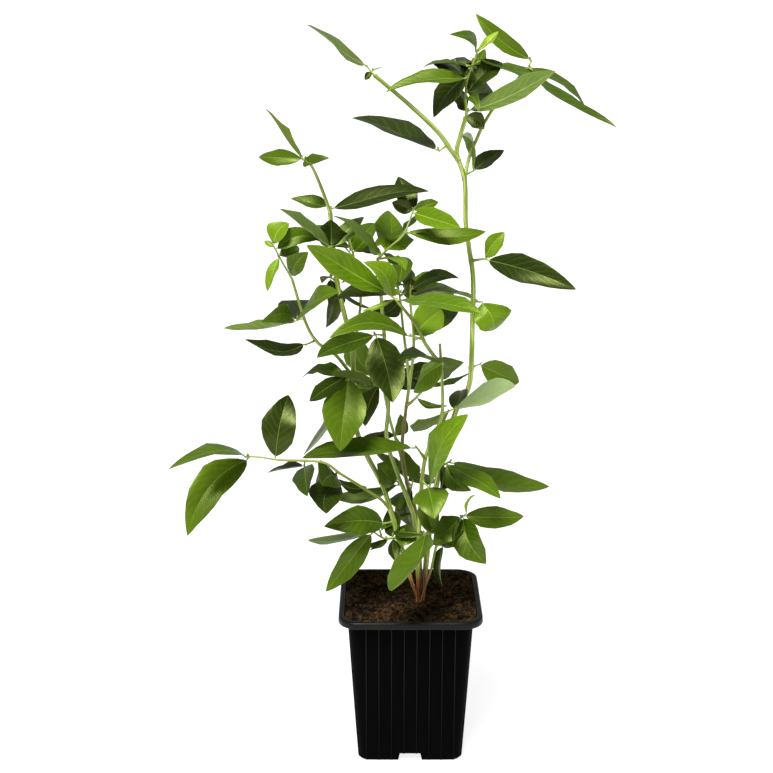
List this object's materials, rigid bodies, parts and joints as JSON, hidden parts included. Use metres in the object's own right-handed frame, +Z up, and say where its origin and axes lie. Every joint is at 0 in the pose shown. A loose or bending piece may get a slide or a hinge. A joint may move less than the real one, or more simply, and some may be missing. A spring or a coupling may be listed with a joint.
{
  "type": "potted blueberry bush",
  "caption": "Young upright blueberry bush with slender stems and lance-shaped leaves, growing in a square ribbed black nursery pot.",
  "frame": {"origin": "centre of the pot's flat underside, which stands on the floor", "axes": "+Z up along the plant's height, -Y towards its front, +X to the right as seen from the front"},
  "size_m": [0.2619, 0.1987, 0.4567],
  "materials": {
    "pot": "satin black moulded nursery pot",
    "compost": "damp fibrous peat compost",
    "bark": "smooth young yellow-green bark, red-brown near the ground",
    "leaf": "soft satin leaf, dull and paler beneath"
  },
  "bodies": {
    "root": {"pot": "pot", "compost": "compost", "stem_right": "bark", "stem_low_right": "bark", "stem_front": "bark", "stem_left": "bark", "stem_middle": "bark", "stem_back": "bark", "bough_top_left": "bark", "bough_top_right": "bark", "bough_front": "bark", "bough_left": "bark", "bough_rear_left": "bark", "bough_low_left": "bark", "bough_rear_low": "bark", "bough_rear_high": "bark", "leaves_top": "leaf", "leaves_top_right": "leaf", "leaves_top_left": "leaf", "leaves_top_inner_left": "leaf", "leaves_top_inner_right": "leaf", "leaves_right_spur": "leaf", "leaves_right_middle": "leaf", "leaves_right_low": "leaf", "leaves_right_foot": "leaf", "leaves_front_side": "leaf", "leaves_front_top": "leaf", "leaves_front_heart": "leaf", "leaves_front_fork": "leaf", "leaves_front_low": "leaf", "leaves_front_left": "leaf", "leaves_back_top": "leaf", "leaves_back_side": "leaf", "leaves_back_middle": "leaf", "leaves_back_low": "leaf", "leaves_back_foot": "leaf", "leaves_middle_top": "leaf", "leaves_middle_front": "leaf", "leaves_middle_side": "leaf", "leaves_middle_low": "leaf", "leaves_left_top": "leaf", "leaves_left_high": "leaf", "leaves_left_middle": "leaf", "leaves_left_node": "leaf", "leaves_rear_left": "leaf", "leaves_outer_left": "leaf", "leaves_outer_middle": "leaf", "leaves_outer_low": "leaf", "leaves_low_left_tip": "leaf", "leaves_low_left_middle": "leaf", "leaves_low_left_inner": "leaf", "leaves_foot_left_high": "leaf", "leaves_foot_left": "leaf", "leaves_foot_front": "leaf", "leaves_low_right_tip": "leaf", "leaves_low_right_middle": "leaf", "leaves_rear_low": "leaf", "leaves_rear_high": "leaf"}
  },
  "joints": []
}
